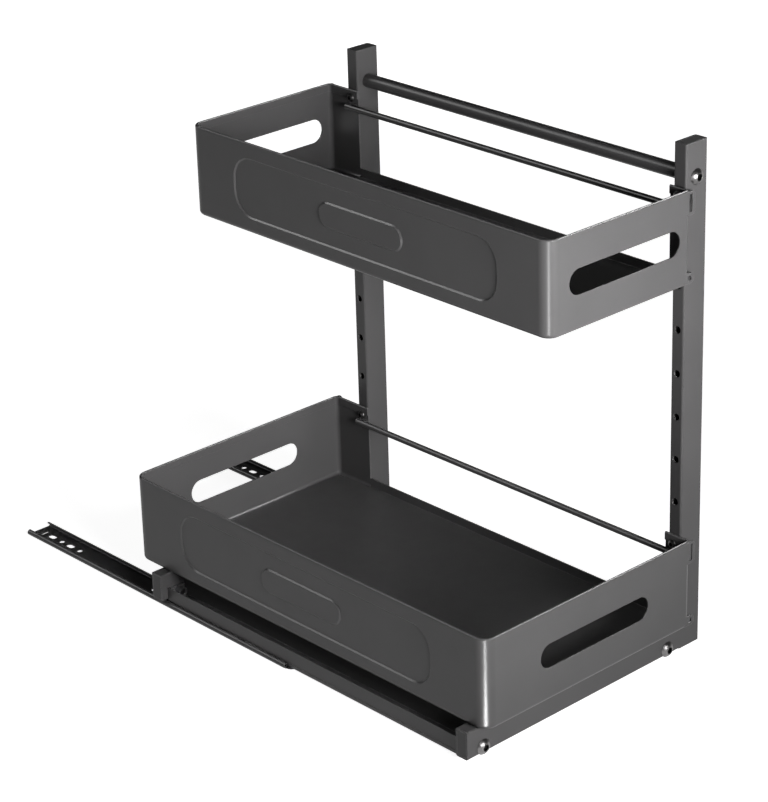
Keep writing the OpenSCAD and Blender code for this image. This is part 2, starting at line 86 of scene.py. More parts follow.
def camera_matrix(place, yaw, pitch, roll):
    """Turns yaw from +Y towards +X, pitch below the horizon and roll into a camera's matrix."""
    forward = Vector((math.sin(yaw) * math.cos(pitch), math.cos(yaw) * math.cos(pitch),
                      -math.sin(pitch)))
    level_right = Vector((math.cos(yaw), -math.sin(yaw), 0))
    level_up = level_right.cross(forward)
    right = math.cos(roll) * level_right + math.sin(roll) * level_up
    up = math.cos(roll) * level_up - math.sin(roll) * level_right
    turn = Matrix((right, up, -forward)).transposed()
    return Matrix.Translation(place) @ turn.to_4x4()


camera_data = bpy.data.cameras.new("product_camera")
camera_data.sensor_fit = "HORIZONTAL"
camera_data.sensor_width = SENSOR_WIDTH
camera_data.lens = FOCAL_LENGTH_PX / PICTURE_WIDTH_PX * SENSOR_WIDTH
camera_data.shift_x = SHIFT_RIGHT_PX / PICTURE_WIDTH_PX
camera_data.shift_y = SHIFT_UP_PX / PICTURE_WIDTH_PX
camera = bpy.data.objects.new("product_camera", camera_data)
camera.matrix_world = camera_matrix(CAMERA_PLACE, CAMERA_YAW, CAMERA_PITCH, CAMERA_ROLL)
bpy.context.scene.collection.objects.link(camera)
bpy.context.scene.camera = camera
print("camera lens:", round(camera_data.lens, 1), "mm")

# %% [markdown]
# Building node trees in a script
#
# Materials and their groups are graphs of nodes. Clicked together by hand they can't be read as
# text, so a few small helpers write them down instead: one adds a node and sets its values, one
# makes a shader group with named inputs and outputs, and two do sums and mix colours.

# %% Helpers for node trees
def add_node(tree, kind, **settings):
    """Adds a node; a setting is one of its properties or else the value of the input so named."""
    node = tree.nodes.new(kind)
    for name, value in settings.items():
        socket_name = name.replace("_", " ").title()
        if hasattr(node, name):
            setattr(node, name, value)
        else:
            node.inputs[socket_name].default_value = value
    return node


def new_group(name, inputs, outputs):
    """Makes a shader node group. Inputs map a name to its kind and default value."""
    group = bpy.data.node_groups.new(name, "ShaderNodeTree")
    for socket_name, (kind, default) in inputs.items():
        socket = group.interface.new_socket(socket_name, in_out="INPUT", socket_type=kind)
        if default is not None:
            socket.default_value = default
    for socket_name, kind in outputs.items():
        group.interface.new_socket(socket_name, in_out="OUTPUT", socket_type=kind)
    return group, group.nodes.new("NodeGroupInput"), group.nodes.new("NodeGroupOutput")


def math_node(tree, operation, first, second):
    """A Math node whose two inputs are sockets or plain numbers."""
    node = tree.nodes.new("ShaderNodeMath")
    node.operation = operation
    for slot, value in enumerate((first, second)):
        if isinstance(value, (int, float)):
            node.inputs[slot].default_value = value
        else:
            tree.links.new(value, node.inputs[slot])
    return node.outputs[0]


def mix_colour(tree, mask, first, second):
    """Mixes two colours, sockets or plain, by a mask."""
    node = tree.nodes.new("ShaderNodeMix")
    node.data_type = "RGBA"
    for socket, value in ((node.inputs["Factor"], mask), (node.inputs[6], first),
                          (node.inputs[7], second)):
        if isinstance(value, (tuple, list, int, float)):
            socket.default_value = value
        else:
            tree.links.new(value, socket)
    return node.outputs[2]


# %% [markdown]
# Powder coat
#
# Powder paint melts into a skin with a faint orange peel of about a millimetre and a much finer
# grain on top. Both matter: the peel makes long reflections waver, the grain makes them satin.
# The group puts out a slightly mottled colour, a roughness that varies with the grain, and a
# height for a Bump node, so each coated material can use it with its own colours.

# %% Group: powder coat skin
COLOUR = "NodeSocketColor"
NUMBER = "NodeSocketFloat"
VECTOR = "NodeSocketVector"
PEEL_DETAIL = 2
GRAIN_DETAIL = 3
GRAIN_RANGE = (0.3, 0.7)
CLOUD_SCALE = 18
CLOUD_DETAIL = 3
MOTTLE_FROM_GRAIN = 0.55
MOTTLE_FROM_CLOUD = 0.45
MOTTLE_RANGE = (0.35, 0.65)
HEIGHT_FROM_PEEL = 0.7
HEIGHT_FROM_GRAIN = 0.3


def noise(tree, vector, scale, detail, roughness=0.5):
    """A noise from 0 to 1; its scale is a socket or a number, and higher for smaller spots."""
    node = add_node(tree, "ShaderNodeTexNoise", detail=detail, roughness=roughness)
    tree.links.new(vector, node.inputs["Vector"])
    if isinstance(scale, (int, float)):
        node.inputs["Scale"].default_value = scale
    else:
        tree.links.new(scale, node.inputs["Scale"])
    return node.outputs["Fac"]


def map_range(tree, value, low, high, new_low, new_high):
    """Fits a value from one range to another; the new ends are sockets or plain numbers."""
    node = tree.nodes.new("ShaderNodeMapRange")
    tree.links.new(value, node.inputs["Value"])
    node.inputs["From Min"].default_value = low
    node.inputs["From Max"].default_value = high
    for name, end in (("To Min", new_low), ("To Max", new_high)):
        if isinstance(end, (int, float)):
            node.inputs[name].default_value = end
        else:
            tree.links.new(end, node.inputs[name])
    return node.outputs["Result"]


def build_powder_coat():
    """Colour, roughness and height of a powder coat's peel and grain."""
    group, given, out = new_group(
        "powder_coat_skin",
        {"Vector": (VECTOR, None), "Colour": (COLOUR, (0.05, 0.05, 0.05, 1)),
         "Light Colour": (COLOUR, (0.07, 0.07, 0.07, 1)), "Peel Scale": (NUMBER, 900),
         "Grain Scale": (NUMBER, 4200), "Low Roughness": (NUMBER, 0.36),
         "High Roughness": (NUMBER, 0.5)},
        {"Colour": COLOUR, "Roughness": NUMBER, "Height": NUMBER})
    vector = given.outputs["Vector"]
    peel = noise(group, vector, given.outputs["Peel Scale"], PEEL_DETAIL)
    grain = noise(group, vector, given.outputs["Grain Scale"], GRAIN_DETAIL)
    cloud = noise(group, vector, CLOUD_SCALE, CLOUD_DETAIL)
    tone = math_node(group, "ADD", math_node(group, "MULTIPLY", grain, MOTTLE_FROM_GRAIN),
                     math_node(group, "MULTIPLY", cloud, MOTTLE_FROM_CLOUD))
    tone = map_range(group, tone, *MOTTLE_RANGE, 0, 1)
    colour = mix_colour(group, tone, given.outputs["Colour"], given.outputs["Light Colour"])
    rough = map_range(group, grain, *GRAIN_RANGE, given.outputs["Low Roughness"],
                      given.outputs["High Roughness"])
    height = math_node(group, "ADD", math_node(group, "MULTIPLY", peel, HEIGHT_FROM_PEEL),
                       math_node(group, "MULTIPLY", grain, HEIGHT_FROM_GRAIN))
    group.links.new(colour, out.inputs["Colour"])
    group.links.new(rough, out.inputs["Roughness"])
    group.links.new(height, out.inputs["Height"])
    return group


POWDER_COAT = build_powder_coat()
print("group:", POWDER_COAT.name)

# %% [markdown]
# Drawn and plated metal
#
# Rolled rails, turned screws and pressed cages carry fine scratches along the way they were
# drawn. A noise stretched along one axis gives them. The stretch is a plain scaling of the
# coordinates, which a Mapping node in each material sets, and the group turns the result into a
# colour, a roughness and a height. Scaled alike on all three axes, the same noise is a fine even
# grain, as on tumbled screws.

# %% Group: drawn metal
STREAK_SCALE = 1
STREAK_DETAIL = 4
STREAK_ROUGHNESS = 0.65
STREAK_RANGE = (0.3, 0.7)
STAIN_SCALE = 0.06
STAIN_DETAIL = 2
STAIN_RANGE = (0.4, 0.66)


def build_drawn_metal():
    """Colour, roughness and height of bare metal with fine streaks and faint stains."""
    group, given, out = new_group(
        "drawn_metal",
        {"Vector": (VECTOR, None), "Colour": (COLOUR, (0.5, 0.5, 0.5, 1)),
         "Dull Colour": (COLOUR, (0.4, 0.4, 0.4, 1)), "Low Roughness": (NUMBER, 0.2),
         "High Roughness": (NUMBER, 0.4)},
        {"Colour": COLOUR, "Roughness": NUMBER, "Height": NUMBER})
    vector = given.outputs["Vector"]
    streaks = noise(group, vector, STREAK_SCALE, STREAK_DETAIL, STREAK_ROUGHNESS)
    stain = noise(group, vector, STAIN_SCALE, STAIN_DETAIL)
    mask = map_range(group, stain, *STAIN_RANGE, 0, 1)
    colour = mix_colour(group, mask, given.outputs["Colour"], given.outputs["Dull Colour"])
    rough = map_range(group, streaks, *STREAK_RANGE, given.outputs["Low Roughness"],
                      given.outputs["High Roughness"])
    group.links.new(colour, out.inputs["Colour"])
    group.links.new(rough, out.inputs["Roughness"])
    group.links.new(streaks, out.inputs["Height"])
    return group


DRAWN_METAL = build_drawn_metal()
print("group:", DRAWN_METAL.name)

# %% [markdown]
# Settled dust
#
# Even a clean studio piece has a trace of dust where it faces up. A mask from the surface's own
# upward tilt, broken up by noise, lets each coat mix in a few hundredths of a paler colour there.
# It is the touch that stops a black part from looking like a hole in the picture.

# %% Group: settled dust
UPWARD_RANGE = (0.5, 1)
PATCH_SCALE = 60
PATCH_DETAIL = 5
PATCH_ROUGHNESS = 0.6
PATCH_RANGE = (0.35, 0.7)


def build_dust():
    """A mask of dust patches on faces that look up."""
    group, given, out = new_group(
        "settled_dust", {"Vector": (VECTOR, None), "Amount": (NUMBER, 0.1)}, {"Mask": NUMBER})
    geometry = group.nodes.new("ShaderNodeNewGeometry")
    split = group.nodes.new("ShaderNodeSeparateXYZ")
    group.links.new(geometry.outputs["Normal"], split.inputs[0])
    upward = map_range(group, split.outputs["Z"], *UPWARD_RANGE, 0, 1)
    spots = noise(group, given.outputs["Vector"], PATCH_SCALE, PATCH_DETAIL, PATCH_ROUGHNESS)
    patches = map_range(group, spots, *PATCH_RANGE, 0, 1)
    mask = math_node(group, "MULTIPLY", math_node(group, "MULTIPLY", upward, patches),
                     given.outputs["Amount"])
    group.links.new(mask, out.inputs["Mask"])
    return group


SETTLED_DUST = build_dust()
print("group:", SETTLED_DUST.name)

# %% [markdown]
# Soft edges
#
# No real sheet or tube has a perfectly sharp edge: the shears leave a tiny round, and the coat
# pulls thin over it and looks paler there. The Bevel node bends the normal near an edge, so the
# edge catches a fine line of light without a change to the solid, and the angle between the bent
# normal and the plain one is a ready mask for the paler coat. The paler colour is partly wear and
# partly a painted highlight: no edge is paled less than a fixed share, and chips add to that.

# %% Group: soft edges
BEVEL_SAMPLES = 6
BEND_RANGE = (0.98, 0.75)
CHIP_SCALE = 700
CHIP_DETAIL = 3
CHIP_ROUGHNESS = 0.6
CHIP_RANGE = (0.3, 0.6)
LEAST_EDGE_WEAR_AND_HIGHLIGHT = 0.4


def vector_math(tree, operation, first, second):
    """A Vector Math node between two sockets."""
    node = tree.nodes.new("ShaderNodeVectorMath")
    node.operation = operation
    tree.links.new(first, node.inputs[0])
    tree.links.new(second, node.inputs[1])
    return node


def build_soft_edges():
    """A normal that rounds the edges, and a mask of their wear and painted highlight."""
    group, given, out = new_group(
        "soft_edges", {"Vector": (VECTOR, None), "Radius": (NUMBER, 0.0004)},
        {"Normal": VECTOR, "Mask": NUMBER})
    bevel = add_node(group, "ShaderNodeBevel", samples=BEVEL_SAMPLES)
    group.links.new(given.outputs["Radius"], bevel.inputs["Radius"])
    geometry = group.nodes.new("ShaderNodeNewGeometry")
    bend = vector_math(group, "DOT_PRODUCT", bevel.outputs["Normal"], geometry.outputs["Normal"])
    edge = map_range(group, bend.outputs["Value"], *BEND_RANGE, 0, 1)
    specks = noise(group, given.outputs["Vector"], CHIP_SCALE, CHIP_DETAIL, CHIP_ROUGHNESS)
    # The chips' share never drops below a floor, so every edge is paled as a painted highlight
    # besides its wear.
    chips_and_highlight = map_range(group, specks, *CHIP_RANGE, LEAST_EDGE_WEAR_AND_HIGHLIGHT, 1)
    group.links.new(bevel.outputs["Normal"], out.inputs["Normal"])
    group.links.new(math_node(group, "MULTIPLY", edge, chips_and_highlight), out.inputs["Mask"])
    return group


SOFT_EDGES = build_soft_edges()
print("group:", SOFT_EDGES.name)

# %% [markdown]
# The finishes
#
# Each material joins the groups to one Principled shader. Constants such as the specular level
# sit on the shader's own sockets. A few short helpers do what all the finishes share.

# %% Helpers for materials
BLUE_TINT_SHARE = 0.6


def new_material(name):
    """A material, its tree, its Principled shader and its Object coordinates."""
    material = bpy.data.materials.new(name)
    material.use_nodes = True
    tree = material.node_tree
    shader = next(n for n in tree.nodes if n.type == "BSDF_PRINCIPLED")
    place = tree.nodes.new("ShaderNodeTexCoord")
    return material, tree, shader, place.outputs["Object"]


def add_group(tree, group, vector, **values):
    """Places a shader group; each value goes to the input of that name."""
    node = tree.nodes.new("ShaderNodeGroup")
    node.node_tree = group
    tree.links.new(vector, node.inputs["Vector"])
    for name, value in values.items():
        node.inputs[name.replace("_", " ").title()].default_value = value
    return node


def add_bump(tree, shader, height, strength, distance, edge_normal):
    """Lays a height over the rounded edges' normal."""
    bump = add_node(tree, "ShaderNodeBump", strength=strength, distance=distance)
    tree.links.new(height, bump.inputs["Height"])
    tree.links.new(edge_normal, bump.inputs["Normal"])
    tree.links.new(bump.outputs["Normal"], shader.inputs["Normal"])


def grey(level, tint=0.0):
    """A linear grey; a tint adds that share of red, and a smaller one of blue."""
    return (level * (1 + tint), level, level * (1 + tint * BLUE_TINT_SHARE), 1)


# %% [markdown]
# The black coats
#
# The frame's coat is a touch rougher and darker than the baskets', whose peel is coarser, as it
# is on large sheet. The rails are blacker still, and the plugs of the tubes are moulded with a
# fine matt grain, which the same skin gives at a smaller scale. Edges are paler, partly from wear
# and partly as a painted highlight.

# %% Powder coated materials
DUST_COLOUR = grey(0.26, 0.03)
EDGE_WEAR_AND_HIGHLIGHT_COLOUR = grey(0.3, 0.02)
COAT_EDGE_WEAR_AND_HIGHLIGHT = 0.5
COAT_SPECULAR = 0.17
COAT_DUST = 0.04
COAT_RELIEF = 0.06 * MM


def coated(name, dark, light, low_rough, high_rough, peel_scale, bump, edge_radius):
    """A powder coat between two greys, with dust on top, and wear and a painted highlight at the
    edges.
    """
    material, tree, shader, place = new_material(name)
    skin = add_group(tree, POWDER_COAT, place, colour=dark, light_colour=light,
                     peel_scale=peel_scale, low_roughness=low_rough, high_roughness=high_rough)
    dust = add_group(tree, SETTLED_DUST, place, amount=COAT_DUST)
    edges = add_group(tree, SOFT_EDGES, place, radius=edge_radius)
    # Painted highlight and wear: the edges are mixed towards a paler grey.
    edge_wear_and_highlight_mask = math_node(tree, "MULTIPLY", edges.outputs["Mask"], COAT_EDGE_WEAR_AND_HIGHLIGHT)
    colour = mix_colour(tree, dust.outputs["Mask"], skin.outputs["Colour"], DUST_COLOUR)
    colour = mix_colour(tree, edge_wear_and_highlight_mask, colour, EDGE_WEAR_AND_HIGHLIGHT_COLOUR)
    tree.links.new(colour, shader.inputs["Base Color"])
    tree.links.new(skin.outputs["Roughness"], shader.inputs["Roughness"])
    shader.inputs["Specular IOR Level"].default_value = COAT_SPECULAR
    add_bump(tree, shader, skin.outputs["Height"], bump, COAT_RELIEF, edges.outputs["Normal"])
    return material


FRAME_COAT = coated(
    "frame_coat", dark=grey(0.064, 0.025), light=grey(0.076, 0.025), low_rough=0.34,
    high_rough=0.44, peel_scale=850, bump=0.4, edge_radius=0.5 * MM)
BASKET_COAT = coated(
    "basket_coat", dark=grey(0.069, 0.02), light=grey(0.081, 0.02), low_rough=0.29,
    high_rough=0.37, peel_scale=760, bump=0.4, edge_radius=0.45 * MM)
RAIL_COAT = coated(
    "black_rail", dark=grey(0.06, 0.02), light=grey(0.074, 0.02), low_rough=0.3,
    high_rough=0.42, peel_scale=1200, bump=0.35, edge_radius=0.35 * MM)
CAP_PLASTIC = coated(
    "cap_plastic", dark=grey(0.06, 0.02), light=grey(0.068, 0.02), low_rough=0.45,
    high_rough=0.58, peel_scale=2600, bump=0.4, edge_radius=0.5 * MM)
print("coats:", FRAME_COAT.name, BASKET_COAT.name, RAIL_COAT.name, CAP_PLASTIC.name)

# %% [markdown]
# Bare metal
#
# The ball cages, the nuts and the runners' screws are zinc plated, the screws that show are of
# darker steel, and the balls are polished. A screw's socket looks nearly black, because little
# light finds its way out of it. Its points carry a number called recess, by which the material
# mixes in a black as painted shade.

# %% Metal materials
SOCKET_PAINTED_SHADE = grey(0.02)
METAL_EDGE_RADIUS = 0.2 * MM
METAL_RELIEF = 0.02 * MM


def plated(name, colour, dull, low_rough, high_rough, stretch, bump):
    """A bare metal; stretch scales the coordinates, so a low value draws long streaks."""
    material, tree, shader, place = new_material(name)
    mapping = tree.nodes.new("ShaderNodeMapping")
    mapping.inputs["Scale"].default_value = stretch
    tree.links.new(place, mapping.inputs["Vector"])
    metal = add_group(tree, DRAWN_METAL, mapping.outputs["Vector"], colour=colour,
                      dull_colour=dull, low_roughness=low_rough, high_roughness=high_rough)
    # Painted shade: the socket's points, marked recess, are mixed towards black.
    recess = add_node(tree, "ShaderNodeAttribute", attribute_name="recess").outputs["Fac"]
    colour = mix_colour(tree, recess, metal.outputs["Colour"], SOCKET_PAINTED_SHADE)
    tree.links.new(colour, shader.inputs["Base Color"])
    tree.links.new(metal.outputs["Roughness"], shader.inputs["Roughness"])
    shader.inputs["Metallic"].default_value = 1
    edges = add_group(tree, SOFT_EDGES, place, radius=METAL_EDGE_RADIUS)
    add_bump(tree, shader, metal.outputs["Height"], bump, METAL_RELIEF, edges.outputs["Normal"])
    return material


ZINC_STEEL = plated(
    "zinc_steel", colour=(0.56, 0.56, 0.55, 1), dull=(0.47, 0.48, 0.49, 1), low_rough=0.24,
    high_rough=0.42, stretch=(1500, 90, 1500), bump=0.5)
SCREW_STEEL = plated(
    "screw_steel", colour=(0.2, 0.195, 0.195, 1), dull=(0.15, 0.147, 0.147, 1), low_rough=0.26,
    high_rough=0.4, stretch=(2600, 2600, 2600), bump=0.3)
POLISHED_STEEL = plated(
    "polished_steel", colour=(0.78, 0.78, 0.78, 1), dull=(0.7, 0.7, 0.71, 1), low_rough=0.06,
    high_rough=0.12, stretch=(3000, 3000, 3000), bump=0.1)
print("metals:", ZINC_STEEL.name, SCREW_STEEL.name, POLISHED_STEEL.name)

# %% [markdown]
# Each node gets its finish
#
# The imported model's record says which finish each node has. Its meshes stay as they are, and
# only the material in their one slot is changed, so what is seen and what collides stay alike.

# %% Assign the finishes
SLOT_MATERIALS = {"frame_coat": FRAME_COAT, "basket_coat": BASKET_COAT, "black_rail": RAIL_COAT,
                  "cap_plastic": CAP_PLASTIC, "zinc_steel": ZINC_STEEL,
                  "screw_steel": SCREW_STEEL, "polished_steel": POLISHED_STEEL}
node_slots = {piece["node"]: piece["material_slot"] for piece in frame["record"]["subparts"]}
for node_name, packed in frame["nodes"].items():
    finish_name = node_slots[node_name]
    packed.data.materials.clear()
    packed.data.materials.append(SLOT_MATERIALS[finish_name])
print("finished nodes:", len(node_slots))

# %% [markdown]
# Turned screws
#
# Button head screws with a hexagon socket hold the frames, smaller ones hold the baskets, and
# flat cross recess screws hold the runners. A screw could be cut from cylinders with booleans,
# but it is simpler as a stack of rings round one axis: round ones for the head and the shank,
# hexagonal or cross shaped ones for the recess. The rows of a thread climb one pitch in a turn,
# and their seam is joined that many rows higher, which makes a true helix.

# %% Rings round an axis
RING_STEPS = 36
FULL_TURN = 2 * math.pi
SIXTH_TURN = FULL_TURN / 6
MERGE_DISTANCE = 0.002 * MM
ZERO_GUARD = 1e-6


def ring(height, reach):
    """Points round Z at a height in mm; reach is a radius in mm, or gives one for an angle."""
    points = []
    for step in range(RING_STEPS):
        angle = FULL_TURN * step / RING_STEPS
        radius = reach(angle) if callable(reach) else reach
        points.append(Vector((radius * math.cos(angle), radius * math.sin(angle), height)) * MM)
    return points


def hexagon(across_flats):
    """How far a hexagon reaches at an angle."""
    return lambda angle: across_flats / 2 / math.cos(angle % SIXTH_TURN - SIXTH_TURN / 2)


def cross(arm, half_width):
    """How far a cross of two bars reaches at an angle."""
    def reach(angle):
        along = abs(math.cos(angle)) + ZERO_GUARD
        across = abs(math.sin(angle)) + ZERO_GUARD
        return max(min(arm / along, half_width / across), min(half_width / along, arm / across))
    return reach


def thread_rows(root, crest, low, high, pitch):
    """Rows of a thread, four in a pitch, which run out to the root at both ends."""
    profile = (root, root, crest, crest)
    rows_in_pitch = len(profile)
    rows = []
    for row in range(-rows_in_pitch, math.ceil((high - low) / pitch * rows_in_pitch) + 1):
        points = ring(0, 1)
        for step, point in enumerate(points):
            height = low + (row / rows_in_pitch + step / RING_STEPS) * pitch
            radius = profile[row % rows_in_pitch] if low < height < high else root
            point *= radius
            point.z = min(max(height, low), high) * MM
        rows.append(points)
    return rows, rows_in_pitch


def skin_rows(mesh, rows, climb=0):
    """Joins rows of points; at the seam a row meets the one that many rows higher."""
    grid = [[mesh.verts.new(point) for point in row] for row in rows]
    last = len(grid) - 1
    for row in range(last):
        for step in range(RING_STEPS):
            turned = (step + 1) // RING_STEPS
            beside = row + turned * climb
            side_step = (step + 1) % RING_STEPS
            corners = (grid[row][step], grid[min(beside, last)][side_step],
                       grid[min(beside + 1, last)][side_step], grid[row + 1][step])
            mesh.faces.new(tuple(dict.fromkeys(corners)))
    return grid


def close_row(mesh, row, height):
    """Closes a ring with a low cone, whose tip is at a height in mm."""
    tip = mesh.verts.new((0, 0, height * MM))
    for step in range(RING_STEPS):
        mesh.faces.new((row[step - 1], row[step], tip))


def finish_mesh(mesh, name, sharp_degrees):
    """Merges and turns the faces outwards, then keeps edges over an angle sharp."""
    bmesh.ops.remove_doubles(mesh, verts=mesh.verts, dist=MERGE_DISTANCE)
    bmesh.ops.dissolve_degenerate(mesh, edges=mesh.edges, dist=MERGE_DISTANCE)
    bmesh.ops.recalc_face_normals(mesh, faces=mesh.faces)
    data = bpy.data.meshes.new(name)
    mesh.to_mesh(data)
    mesh.free()
    data.shade_smooth()
    data.set_sharp_from_angle(angle=math.radians(sharp_degrees))
    return data


# %% [markdown]
# Heads and sockets
#
# A button head is a low dome, so its rows follow a circle. The dome ends at the mouth of the
# socket, which is a little wider than the hexagon's corners, as the punch leaves a small
# countersink there. The heads are kept as shares of their height and radius, so that one shape
# serves every size of screw.

# %% Screw shapes
THREAD_DEPTH_SHARE = 0.11
SCREW_SHARP_DEGREES = 32
DOME_ROWS = 7
SEAT_SHARE = 0.95
RIM_SHARE = 0.99
EDGE_ROLL_SHARE = 0.05
MOUTH_SHARE = 1.09
FLARE_SHARE = 0.35
SOCKET_TIP_SHARE = 0.1
PAN_HEAD_SHARES = ((0, 0.97), (0.2, 1), (0.6, 0.97), (0.88, 0.82), (1, 0.6))
CROSS_SHARES = ((0.98, 0.52, 0.13), (0.35, 0.28, 0.1))
CROSS_FLOOR_SHARE = 0.3
CROSS_TIP_SHARE = 0.06


def screw_mesh(name, shank, length, pitch, head_rows, recess_rows, recess_floor):
    """A screw on Z, with its head above 0 and its shank below; sizes in mm."""
    mesh = bmesh.new()
    recess = mesh.verts.layers.float.new("recess")
    crest = shank / 2
    root = crest - shank * THREAD_DEPTH_SHARE
    run_out = pitch / 2
    rows, climb = thread_rows(root, crest, run_out - length, -run_out, pitch)
    skin_rows(mesh, rows, climb)
    tip = skin_rows(mesh, [ring(-length, root - run_out / 2), ring(run_out - length, root)])
    close_row(mesh, tip[0], -length)
    head = skin_rows(mesh, [ring(-run_out, root), ring(0, root)] + head_rows + recess_rows)
    close_row(mesh, head[-1], recess_floor)
    # The socket's points are marked recess, where the metal is given a painted shade.
    for row in head[-len(recess_rows):]:
        for point in row:
            point[recess] = 1
    return finish_mesh(mesh, name, SCREW_SHARP_DEGREES)


def button_screw(name, shank, length, pitch, head, head_height, socket, socket_depth):
    """A domed head whose crown is as wide as the socket and its countersink."""
    half = head / 2
    dome = (half ** 2 + head_height ** 2) / (2 * head_height)
    mouth = socket / math.sqrt(3) * MOUTH_SHARE

    def crown(radius):
        return head_height - dome + math.sqrt(dome ** 2 - radius ** 2)

    rim = half * RIM_SHARE
    head_rows = [ring(0, half * SEAT_SHARE), ring(head_height * EDGE_ROLL_SHARE, rim)]
    for row in range(1, DOME_ROWS + 1):
        radius = rim + (mouth - rim) * row / DOME_ROWS
        head_rows.append(ring(crown(radius), radius))
    flare = (mouth - socket / 2) * FLARE_SHARE
    floor_height = head_height - socket_depth
    recess_rows = [ring(crown(mouth) - flare, hexagon(socket)), ring(floor_height, hexagon(socket)),
                   ring(floor_height - flare, socket * SOCKET_TIP_SHARE)]
    return screw_mesh(name, shank, length, pitch, head_rows, recess_rows, floor_height - flare)


def pan_screw(name, shank, length, pitch, head, head_height):
    """A low head with a cross recess."""
    half = head / 2
    recess_floor = head_height * CROSS_FLOOR_SHARE
    head_rows = [ring(head_height * up, half * out) for up, out in PAN_HEAD_SHARES]
    recess_rows = [ring(head_height * up, cross(half * arm, half * width))
                   for up, arm, width in CROSS_SHARES]
    recess_rows.append(ring(recess_floor, half * CROSS_TIP_SHARE))
    return screw_mesh(name, shank, length, pitch, head_rows, recess_rows, recess_floor)


# %% [markdown]
# One copy on each marked point
#
# Geometry Nodes put a copy of one screw on each point of a small mesh. Every point carries the
# direction that its head faces, as an attribute, and each copy also gets a turn of its own about
# its axis, because nobody lines the sockets up when tightening them. Realize Instances turns the
# copies into plain faces, so the result is one mesh that rides on its body.

# %% Geometry Nodes: place copies
def tree_socket(tree, name, kind, output=False):
    """Gives a Geometry Nodes tree a named input, or an output."""
    side = "OUTPUT" if output else "INPUT"
    return tree.interface.new_socket(name, in_out=side, socket_type="NodeSocket" + kind)


def float_socket(node, name):
    """The Random Value node has one socket of each name for each kind; this finds the float."""
    return next(s for s in node.inputs if s.name == name and s.type == "VALUE")


def build_copy_placer():
    """Copies an object to each point, facing as the point says and turned a little by chance."""
    tree = bpy.data.node_groups.new("place_copies", "GeometryNodeTree")
    for name, kind in (("Points", "Geometry"), ("Copy", "Object"), ("Turn Range", "Float"),
                       ("Turn Seed", "Int"), ("Material", "Material")):
        tree_socket(tree, name, kind)
    tree_socket(tree, "Copies", "Geometry", output=True)
    given, out = tree.nodes.new("NodeGroupInput"), tree.nodes.new("NodeGroupOutput")
    points = tree.nodes.new("GeometryNodeMeshToPoints")
    facing = add_node(tree, "GeometryNodeInputNamedAttribute", data_type="FLOAT_VECTOR")
    facing.inputs["Name"].default_value = "facing"
    align = add_node(tree, "FunctionNodeAlignRotationToVector", axis="Z")
    shape = tree.nodes.new("GeometryNodeObjectInfo")
    place = tree.nodes.new("GeometryNodeInstanceOnPoints")
    chance = add_node(tree, "FunctionNodeRandomValue", data_type="FLOAT")
    spin = tree.nodes.new("ShaderNodeCombineXYZ")
    turn = tree.nodes.new("GeometryNodeRotateInstances")
    realize = tree.nodes.new("GeometryNodeRealizeInstances")
    paint = tree.nodes.new("GeometryNodeSetMaterial")
    for start, end in (
            (given.outputs["Points"], points.inputs["Mesh"]),
            (points.outputs["Points"], place.inputs["Points"]),
            (given.outputs["Copy"], shape.inputs["Object"]),
            (shape.outputs["Geometry"], place.inputs["Instance"]),
            (facing.outputs["Attribute"], align.inputs["Vector"]),
            (align.outputs["Rotation"], place.inputs["Rotation"]),
            (given.outputs["Turn Range"], float_socket(chance, "Max")),
            (given.outputs["Turn Seed"], chance.inputs["Seed"]),
            (next(o for o in chance.outputs if o.type == "VALUE"), spin.inputs["Z"]),
            (place.outputs["Instances"], turn.inputs["Instances"]),
            (spin.outputs["Vector"], turn.inputs["Rotation"]),
            (turn.outputs["Instances"], realize.inputs["Geometry"]),
            (realize.outputs["Geometry"], paint.inputs["Geometry"]),
            (given.outputs["Material"], paint.inputs["Material"]),
            (paint.outputs["Geometry"], out.inputs["Copies"])):
        tree.links.new(start, end)
    return tree


PLACE_COPIES = build_copy_placer()
print("tree:", PLACE_COPIES.name, "nodes:", len(PLACE_COPIES.nodes))

# %% [markdown]
# From a tree to a plain mesh
#
# A Geometry Nodes tree works as a modifier. Its inputs are set by their identifiers before
# Blender works the object out, and the result is read from the evaluated copy of the object.
# That gives a plain mesh, which can ride on its body like any other piece.

# %% Run a tree and keep its mesh
def run_tree(tree, name, mesh, **values):
    """Puts a mesh through a tree and gives back a plain object; values are the tree's inputs."""
    carrier = bpy.data.objects.new(name + "_points", mesh)
    bpy.context.scene.collection.objects.link(carrier)
    modifier = carrier.modifiers.new("nodes", "NODES")
    modifier.node_group = tree
    for item in tree.interface.items_tree:
        key = item.name.lower().replace(" ", "_")
        if item.item_type == "SOCKET" and item.in_out == "INPUT" and key in values:
            modifier[item.identifier] = values[key]
    graph = bpy.context.evaluated_depsgraph_get()
    made = bpy.data.meshes.new_from_object(carrier.evaluated_get(graph))
    made.name = name
    carrier.modifiers.remove(modifier)
    bpy.data.objects.remove(carrier)
    piece = bpy.data.objects.new(name, made)
    bpy.context.scene.collection.objects.link(piece)
    return piece


def facing_points(places):
    """A mesh of bare points; each place is a position and the direction that it faces."""
    mesh = bpy.data.meshes.new("places")
    mesh.from_pydata([position for position, direction in places], [], [])
    facing = mesh.attributes.new("facing", "FLOAT_VECTOR", "POINT")
    for index, (position, direction) in enumerate(places):
        facing.data[index].vector = direction
    return mesh


